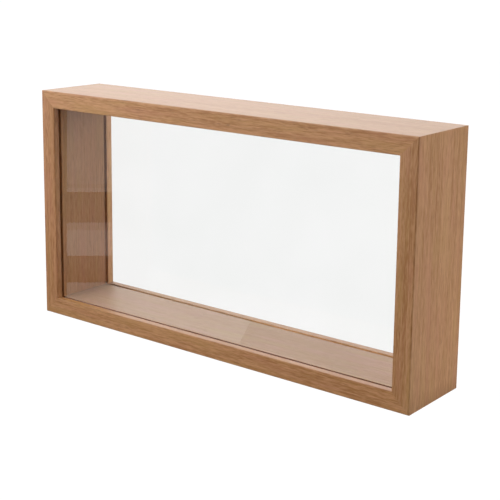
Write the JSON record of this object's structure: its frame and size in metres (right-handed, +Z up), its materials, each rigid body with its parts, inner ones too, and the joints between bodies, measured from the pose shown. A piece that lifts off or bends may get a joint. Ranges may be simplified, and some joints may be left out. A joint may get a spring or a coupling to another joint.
{
  "type": "butterfly display box",
  "caption": "Low oak box open to view from front and back between two glass panes, with a rear frame that lifts off so that specimens can be set inside.",
  "frame": {"origin": "middle of the underside, on the surface that the box stands on", "axes": "+Z up, the front pane faces -Y, +X to the right as seen from the front"},
  "size_m": [0.32, 0.06, 0.17],
  "materials": {
    "oak_case": "satin oak, grain along each board",
    "oak_liner": "satin oak, grain along each board",
    "oak_bead": "satin oak, grain along each bead",
    "pane_glass": "clear float glass, ground edges",
    "magnet_nickel": "nickel plate",
    "nail_steel": "bright sheet steel"
  },
  "bodies": {
    "case": {"case_top": "oak_case", "case_bottom": "oak_case", "case_left": "oak_case", "case_right": "oak_case", "liner_top": "oak_liner", "liner_bottom": "oak_liner", "liner_left": "oak_liner", "liner_right": "oak_liner", "front_pane": "pane_glass", "case_magnets": "magnet_nickel", "corner_nails": "nail_steel"},
    "rear_frame": {"bead_top": "oak_bead", "bead_bottom": "oak_bead", "bead_left": "oak_bead", "bead_right": "oak_bead", "rear_pane": "pane_glass", "frame_magnets": "magnet_nickel"}
  },
  "joints": [
    {"name": "rear_frame_lift_off", "type": "slide", "parent": "case", "child": "rear_frame", "axis": [0, 1, 0], "range_m": [0, 0.06]}
  ]
}
